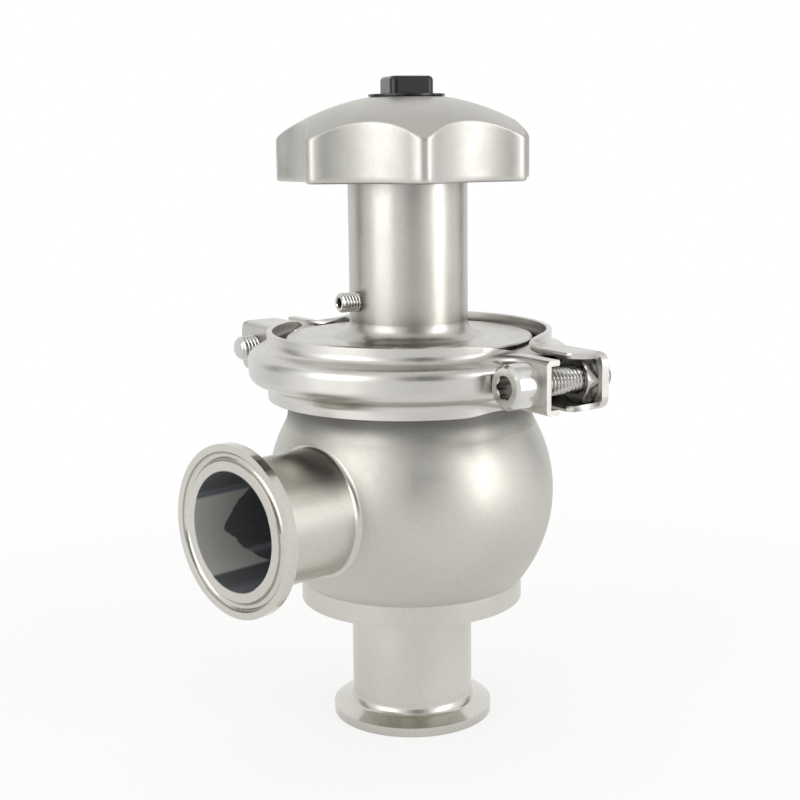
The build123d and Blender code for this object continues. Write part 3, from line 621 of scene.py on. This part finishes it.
# The sections as outward place and height: the ring's hat, the channel and the pan
def clampSections():
    ring = [(clamp["bulge"], 0), (clamp["bulge"], clamp["bulgeCorner"]), (clamp["lip"], clamp["lipCorner"]),
            (clamp["lip"], clamp["half"])]
    channel = [(0, 0), (0, clamp["channelHalf"]), (clamp["channelDepth"], clamp["channelHalf"])]
    pan = [(0, 0), (0, clamp["panHalf"]), (clamp["panDepth"], clamp["panHalf"])]
    return (mirrored(roundedLine(ring, [clamp["bulgeBend"], clamp["lipBend"]])),
            mirrored(roundedLine(channel, [clamp["channelBend"]])),
            mirrored(roundedLine(pan, [clamp["panBend"]])))


# One end of a half: the ring's circle of radius r, an arc of radius b tangent to it outside,
# then a leg at x = place + depth. The arc's centre is (x - b, sqrt((r + b)^2 - (x - b)^2)).
def clampEnd(ring, leg, place, bends):
    inner, outer, low, high = bends
    bend = inner + (outer - inner) * ease(np.abs(leg[:, 1]), low, high)
    x = place + leg[:, 0]
    centreX = x - bend
    centreY = np.sqrt((ring[:, 0] + bend) ** 2 - centreX**2)
    return x, bend, centreX, centreY, np.arctan2(centreY, centreX)


# The pan's leg from its end wall to its bend, with the flanges swept down to a lip at the end:
# depth = lip + (full - lip) sqrt(1 - s^2), s the share of the sweep. The wall has two rows.
def panRows(pan, bendY, t):
    corner = clamp["panCorner"]
    over = np.maximum(np.abs(pan[:, 1]) - clamp["panHalf"] + corner, 0)
    endY = clamp["reach"] - corner + np.sqrt(np.maximum(corner**2 - over**2, 0))
    legY = endY + (bendY - endY) * t
    back = (legY - clamp["reach"] + clamp["sheet"] + clamp["sweep"]) / clamp["sweep"]
    share = clamp["endLip"] / clamp["panDepth"]
    deep = share + (1 - share) * np.sqrt(1 - np.clip(back, 0, 1)**2)
    legX = -clamp["panPlace"] + pan[:, 0] * deep
    wallX = -clamp["panPlace"] + clamp["panDepth"] * deep[0]
    wall = [np.stack([wallX, endY], axis=-1), np.stack([(wallX + legX[0]) / 2, endY], axis=-1)]
    leanOver = over / corner
    wallNormal = np.stack([0 * over, np.sqrt(1 - leanOver**2), np.sign(pan[:, 1]) * leanOver], axis=-1)
    return np.array(wall), np.stack([legX, legY], axis=-1), wallNormal


# The sheet's outer face as rows from the pan's wall over both bends to the channel's end
def clampFace():
    ring, channel, pan = clampSections()
    nearX, nearBend, nearCx, nearCy, nearAngle = clampEnd(ring, channel, clamp["webPlace"], clamp["nearBend"])
    _, farBend, farCx, farCy, farAngle = clampEnd(ring, pan, -clamp["panPlace"], clamp["farBend"])
    t = np.linspace(0, 1, clamp["legSteps"])[:, None]
    wall, farLeg, wallNormal = panRows(pan, farCy, t)
    turnFar = -(pi - farAngle) * np.linspace(0, 1, clamp["bendSteps"])[1:, None]
    farBendRows = np.stack([farCx + farBend * np.cos(turnFar), farCy + farBend * np.sin(turnFar)], axis=-1)
    u = np.linspace(0, 1, clamp["ringSteps"])[1:-1, None]
    angle = farAngle + (2 * pi - nearAngle - farAngle) * u
    ringRows = np.stack([ring[:, 0] * np.cos(angle), ring[:, 0] * np.sin(angle)], axis=-1)
    turnNear = (pi - nearAngle) * np.linspace(1, 0, clamp["bendSteps"])[:, None]
    nearBendRows = np.stack([nearCx + nearBend * np.cos(turnNear), -nearCy + nearBend * np.sin(turnNear)],
                            axis=-1)
    nearY = -nearCy + (nearCy - clamp["reach"]) * t[1:]
    nearLeg = np.stack([nearX + 0 * nearY, nearY], axis=-1)
    plan = np.concatenate([wall, farLeg, farBendRows, ringRows, nearBendRows, nearLeg])
    row = np.arange(len(plan))[:, None]
    before, after = clamp["ringBlend"]
    bendRow = len(wall) + len(farLeg)
    toRing = ease(row, bendRow - before, bendRow + clamp["bendSteps"] + after)
    lastBend = bendRow + len(farBendRows) + len(ringRows)
    toChannel = ease(row, lastBend - clamp["channelBlend"], lastBend + clamp["bendSteps"])
    height = (1 - toRing) * pan[:, 1] + toRing * ((1 - toChannel) * ring[:, 1] + toChannel * channel[:, 1])
    return np.concatenate([plan, height[..., None]], axis=-1), wallNormal, len(wall)


shortest = 1e-9


# The middle of the sheet's edge, pushed out by the edge's round. Where the edge's last two
# points meet, in the wall, the edge looks along the pan's depth.
def clampEdge(outer, inner, last, beside):
    way = outer[:, last] - outer[:, beside]
    length = np.linalg.norm(way, axis=-1, keepdims=True)
    way = np.where(length > shortest, way / np.maximum(length, shortest), (1.0, 0.0, 0.0))
    return ((outer[:, last] + inner[:, last]) / 2 + clamp["edgeRound"] * way)[:, None]


# The inner face lies a sheet's thickness behind the outer one: inner = outer - sheet normal,
# with a mitred normal at the wall's corner
def clampHalfPoints():
    outer, wallNormal, walls = clampFace()
    normal = np.cross(np.gradient(outer[walls:], axis=0), np.gradient(outer[walls:], axis=1))
    normal /= np.linalg.norm(normal, axis=-1, keepdims=True)
    middle = clamp["acrossSteps"] - 1
    if normal[len(normal) // 2, middle] @ outer[len(outer) // 2, middle] < 0:
        normal = -normal
    normal = np.concatenate([[wallNormal] * walls, normal])
    both = normal[walls] + wallNormal
    normal[walls] = both * 2 / np.sum(both * both, axis=-1, keepdims=True)
    inner = outer - clamp["sheet"] * normal
    between = (outer + inner) / 2
    last, first = clampEdge(outer, inner, -1, -2), clampEdge(outer, inner, 0, 1)
    loop = np.concatenate([outer, last, inner[:, ::-1], first], axis=1)
    ends = np.concatenate([between, last, between[:, ::-1], first], axis=1)
    return np.concatenate([ends[:1], loop, ends[-1:]]).transpose(1, 0, 2)


def makeClampHalves():
    half = clampHalfPoints()
    for side, turn in (("left", 0.0), ("right", pi)):
        c, d = cos(clamp["turn"] + turn), sin(clamp["turn"] + turn)
        points = np.stack([half[..., 0] * c - half[..., 1] * d, half[..., 0] * d + half[..., 1] * c,
                           half[..., 2] + clamp["jointHeight"]], axis=-1)
        gridPiece("clampHalf" + side.capitalize(), points * mm, "valve_body", "clamp_steel",
                  ["clamp_half_" + side], clamp["smoothAngle"])


def makeClampFasteners():
    across = Vector((0, 0, 1))
    nutPlace = clamp["panPlace"] - clamp["sheet"] - nut["thickness"]
    for side, sign in (("near", 1), ("far", -1)):
        along = clampPlace(sign, 0, 0)
        seat = clampPlace(sign * clamp["webPlace"], -sign * clamp["boltReach"], clamp["jointHeight"])
        gridPiece("clampBolt" + side.capitalize(), screwPoints(bolt, seat, along, across), "valve_body",
                  "fastener_steel", ["clamp_bolt_" + side])
        seat = clampPlace(sign * nutPlace, -sign * clamp["boltReach"], clamp["jointHeight"])
        gridPiece("clampNut" + side.capitalize(), nutPoints(nut, seat, along, across), "valve_body",
                  "fastener_steel", ["clamp_nut_" + side], nut["smoothAngle"])


def makeLockScrew():
    a = radians(lockScrew["turn"])
    outwards = Vector((cos(a), sin(a), 0))
    reach = lockScrew["inner"] + lockScrew["length"]
    head = outwards * reach * mm + Vector((0, 0, lockScrew["height"] * mm))
    gridPiece("lockScrewThreaded", screwPoints(lockScrew, head, -outwards, Vector((0, 0, 1))), "lock_screw",
              "fastener_steel", ["lock_screw"])


makeClampHalves()
makeClampFasteners()
makeLockScrew()

# The spindle: journal with its pin groove, the lifting thread, square drive and its end, drawn plain without
# its thread.
# Heights in millimetres from its lower end, or down from its top.
spindle = {
    "crest": 7.0, "depth": 1.3, "pitch": 3.0, "point": 0.8, "plain": 0.0, "shoulder": 7.9, "top": 12.1,
    "journal": 5.5, "grooveLow": 1.65, "grooveHigh": 4.65, "groove": 4.0, "square": 10.0, "squareTop": 7.0,
    "squareGap": 0.1, "end": 4.0, "startChamfer": 0.4, "endChamfer": 0.5, "angleSteps": 72, "steps": 140,
}


# r = the thread's radius between the shoulder and the square, and half the square's side over
# the cosine of the angle from its side, no wider than the thread
def makeSpindle():
    low, high = (v.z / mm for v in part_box("spindle"))
    angles = fullTurn(spindle["angleSteps"])
    one = np.ones_like(angles)
    j, g, c = spindle["journal"], spindle["groove"], spindle["startChamfer"]
    profile = [(0, 0), (j - c, 0), (j, c), (j, spindle["grooveLow"]), (g, spindle["grooveLow"]),
               (g, spindle["grooveHigh"]), (j, spindle["grooveHigh"]), (j, spindle["shoulder"])]
    radii = [r * one for r, z in profile]
    heights = [(low + z) * one for r, z in profile]
    start, stop = low + spindle["shoulder"], high - spindle["top"]
    h = np.linspace(start, stop, spindle["steps"])[None, :] * one
    startCone = spindle["crest"] - spindle["point"] + h - start
    body = np.minimum(threadRadius(angles, h, spindle, start, stop), startCone)
    fromSide = (angles + pi / 4) % (pi / 2) - pi / 4
    drive = np.minimum(spindle["square"] / 2 / np.cos(fromSide), spindle["crest"] - spindle["squareGap"])
    shelf, end, c = high - spindle["squareTop"], spindle["end"], spindle["endChamfer"]
    radii += [body, drive, drive, end * one, end * one, (end - c) * one, 0 * one]
    heights += [h, stop * one, shelf * one, shelf * one, (high - c) * one, high * one, high * one]
    points = turnedPoints(radii, heights, angles, (0, 0, 0), (0, 0, 1), (1, 0, 0))
    gridPiece("spindleThreaded", points, "handwheel", "turned_steel", ["spindle"])


makeSpindle()
print("fasteners made")


# 1 for rays from the camera and rays mirrored or let through by a surface, 0 for all others
def addSeen(tree):
    path = addNode(tree, "LightPath").node.outputs
    seen = addMath(tree, "ADD", addMath(tree, "ADD", path["Is Camera Ray"], path["Is Glossy Ray"]),
                   path["Is Transmission Ray"])
    return addMath(tree, "MINIMUM", seen, 1.0)


def flatPiece(name, width, height):
    mesh = bpy.data.meshes.new(name)
    corners = np.array([(-1, -1, 0), (1, -1, 0), (1, 1, 0), (-1, 1, 0)]) * (width / 2, height / 2, 0)
    mesh.from_pydata(corners.tolist(), [], [(0, 1, 2, 3)])
    piece = bpy.data.objects.new(name, mesh)
    bpy.context.scene.collection.objects.link(piece)
    return piece


# The floor is pale near the valve, and passes into the white of the room from near to far
floorLook = {
    "size": 6.0, "gap": 0.00002, "near": 0.10, "far": 0.40, "nearShare": 0.80,
    "colour": (0.86, 0.85, 0.83, 1),
}


def makeFloor():
    floor = flatPiece("floor", floorLook["size"], floorLook["size"])
    floor.data.transform(Matrix.Translation((0, 0, cadLow.z - floorLook["gap"])))
    material, tree = newTree("paleFloor")
    place = addNode(tree, "TexCoord").node.outputs["Object"]
    distance = addNode(tree, "VectorMath", {"operation": "LENGTH"}, i0=place).node.outputs["Value"]
    share = addRange(tree, distance, floorLook["near"], floorLook["far"], floorLook["nearShare"], 1.0)
    diffuse = addNode(tree, "BsdfDiffuse", Color=floorLook["colour"])
    glow = addNode(tree, "Emission", Color=(1, 1, 1, 1), Strength=1.0)
    factor = addMath(tree, "MULTIPLY", share, addSeen(tree))
    mixed = addNode(tree, "MixShader", i0=factor, i1=diffuse, i2=glow)
    addNode(tree, "OutputMaterial", Surface=mixed)
    floor.data.materials.append(material)


roomLight = 0.75


def makeWorld():
    world = bpy.data.worlds.new("softRoom")
    bpy.context.scene.world = world
    world.use_nodes = True
    tree = world.node_tree
    tree.nodes.clear()
    dim = addNode(tree, "Background", Color=(1, 1, 1, 1), Strength=roomLight)
    white = addNode(tree, "Background", Color=(1, 1, 1, 1), Strength=1.0)
    mixed = addNode(tree, "MixShader", i0=addSeen(tree), i1=dim, i2=white)
    addNode(tree, "OutputWorld", Surface=mixed)


# Cards stand outside the picture and only darken what the steel mirrors: right, forward and
# up place the middle, then width, height and grey
cards = {
    "frontCard": (0.19, -0.98, 0.52, 0.62, 0.95, 0.20),
    "frontRoof": (0.22, -0.55, 1.15, 0.60, 0.55, 0.62),
    "roofCard": (0.0, 0.35, 1.25, 1.5, 1.1, 0.85),
    "leftCard": (-0.88, 0.24, 0.34, 0.34, 0.75, 0.34),
    "rightCard": (0.76, 0.49, 0.36, 0.26, 0.75, 0.26),
}
cardTarget = Vector((0, 0, 0.12))
# Lamps: right, forward, up, width, height, watts. The hidden ones aren't mirrored by the steel.
lamps = {
    "leftBox": (-0.70, -0.60, 0.38, 0.66, 0.76, 2.6),
    "rightBox": (0.80, -0.44, 0.38, 0.40, 0.80, 2.7),
    "topBox": (0.0, 0.15, 1.40, 0.9, 0.9, 2.6),
}
lampTarget = Vector((0, 0, 0.11))
hiddenLamps = ["topBox"]


def facing(place, target):
    turned = (target - place).to_track_quat("-Z", "Y").to_matrix().to_4x4()
    return Matrix.Translation(place) @ turned


def makeCards():
    for name, (right, forward, up, width, height, grey) in cards.items():
        card = flatPiece(name, width, height)
        card.data.transform(facing(fromView(right, forward, up), cardTarget))
        material, tree = newTree(name)
        addNode(tree, "OutputMaterial", Surface=addNode(tree, "BsdfDiffuse", Color=(grey, grey, grey, 1)))
        card.data.materials.append(material)
        card.visible_camera = False
        card.visible_shadow = False
        card.visible_diffuse = False


def makeLamps():
    for name, (right, forward, up, width, height, watts) in lamps.items():
        data = bpy.data.lights.new(name, "AREA")
        data.shape = "RECTANGLE"
        data.size = width
        data.size_y = height
        data.energy = watts
        lamp = bpy.data.objects.new(name, data)
        lamp.visible_glossy = name not in hiddenLamps
        lamp.matrix_world = facing(fromView(right, forward, up), lampTarget)
        bpy.context.scene.collection.objects.link(lamp)


makeFloor()
makeWorld()
makeCards()
makeLamps()
bpy.context.scene.view_settings.view_transform = "Standard"
print("stage and light set")
